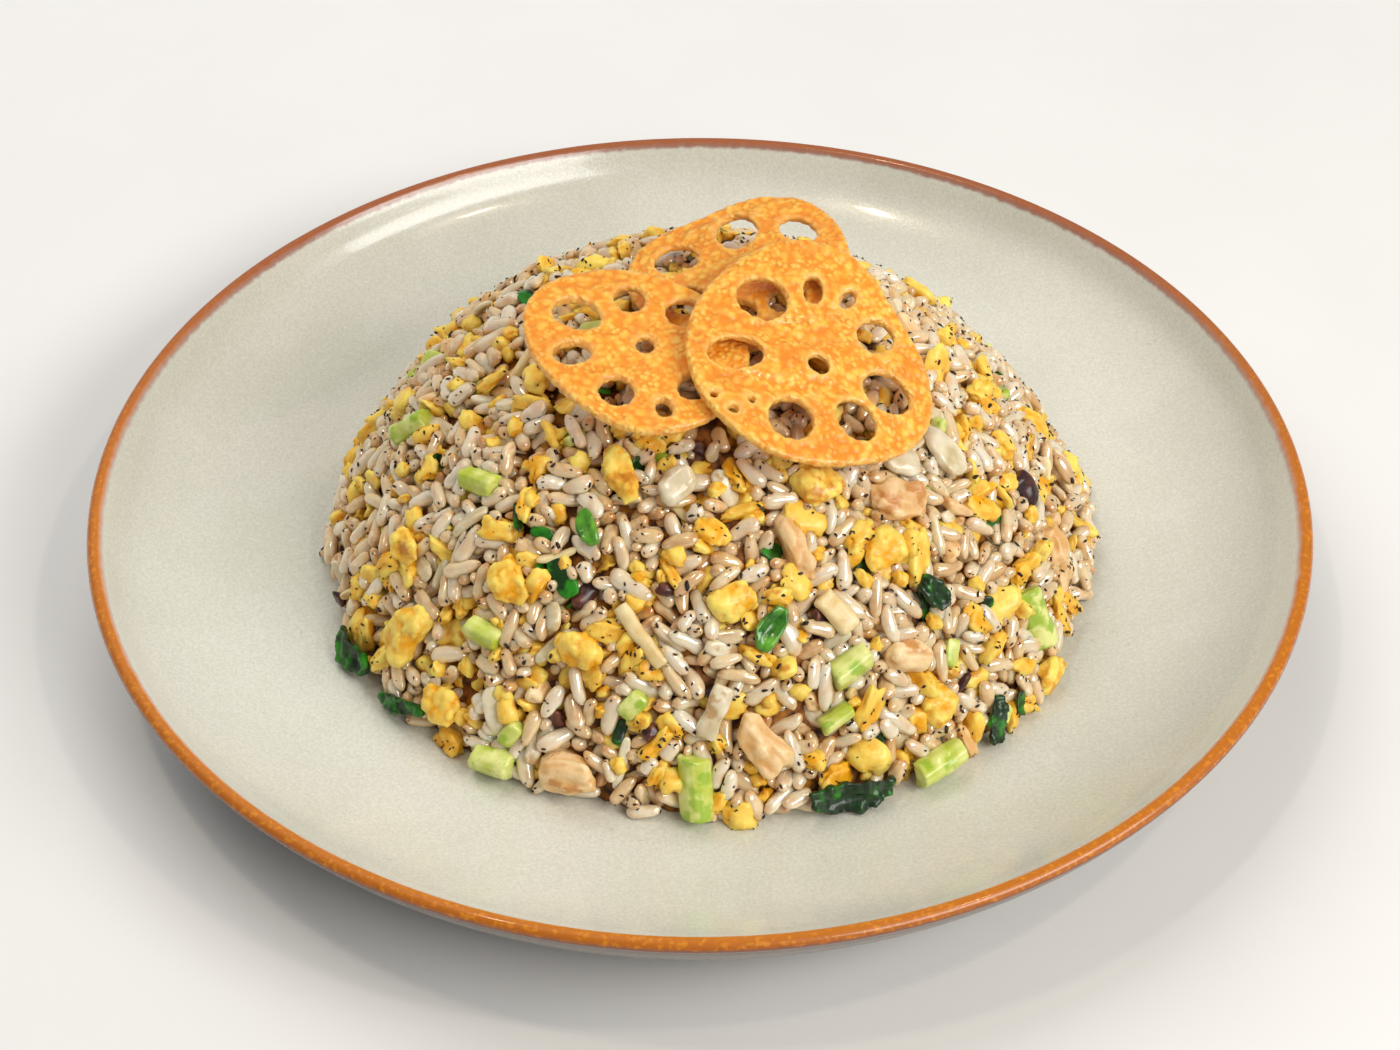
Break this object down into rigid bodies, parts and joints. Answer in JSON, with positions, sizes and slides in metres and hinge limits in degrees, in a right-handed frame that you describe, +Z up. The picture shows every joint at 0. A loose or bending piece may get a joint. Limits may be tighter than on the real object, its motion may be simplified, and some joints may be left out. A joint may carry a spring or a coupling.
{
  "type": "fried rice plate",
  "caption": "Wide round stoneware plate with a domed heap of fried rice, egg, chicken and greens, topped with crisp fried lotus root slices.",
  "frame": {"origin": "centre of the plate's foot ring, on the table", "axes": "+Z up, -Y towards the diner, +X to the diner's right"},
  "size_m": [0.26, 0.26, 0.0821],
  "materials": {
    "glaze": "gloss",
    "rice": "satin",
    "lotus_chip": "satin",
    "pale_stalk": "gloss",
    "green_leaf": "gloss",
    "egg": "satin",
    "chicken": "satin",
    "ginger": "satin",
    "onion": "gloss",
    "red_onion": "gloss"
  },
  "bodies": {
    "root": {"plate": "glaze", "rice_mound": "rice", "stalk_front": "pale_stalk", "stalk_low_left": "pale_stalk", "stalk_left": "pale_stalk", "stalk_upper_left": "pale_stalk", "stalk_right": "pale_stalk", "stalk_small": "pale_stalk", "stalk_pale_right": "pale_stalk", "cabbage_front": "pale_stalk", "chicken_front": "chicken", "chicken_slab": "chicken", "chicken_top": "chicken", "chicken_right": "chicken", "leaf_front": "green_leaf", "leaf_right": "green_leaf", "leaf_left": "green_leaf", "leaf_left_side": "green_leaf", "leaf_mid_right": "green_leaf", "scallion_mid": "green_leaf", "scallion_upper": "green_leaf", "egg_flake_left": "egg", "egg_flake_mid": "egg", "egg_flake_top": "egg", "egg_curd_left": "egg", "egg_curd_upper": "egg", "egg_right": "egg", "egg_low_right": "egg", "egg_far_right": "egg", "egg_brown": "egg", "egg_low_left": "egg", "egg_left": "egg", "onion_round": "onion", "onion_top_right": "onion", "onion_right": "onion", "purple_right": "red_onion", "ham_right": "chicken", "chicken_shred": "chicken", "ginger_slice": "ginger", "stalk_mid_left": "pale_stalk", "ginger_baton": "ginger", "onion_sliver": "ginger", "lotus_chip_left": "lotus_chip", "lotus_chip_back": "lotus_chip", "lotus_chip_front": "lotus_chip"}
  },
  "joints": []
}
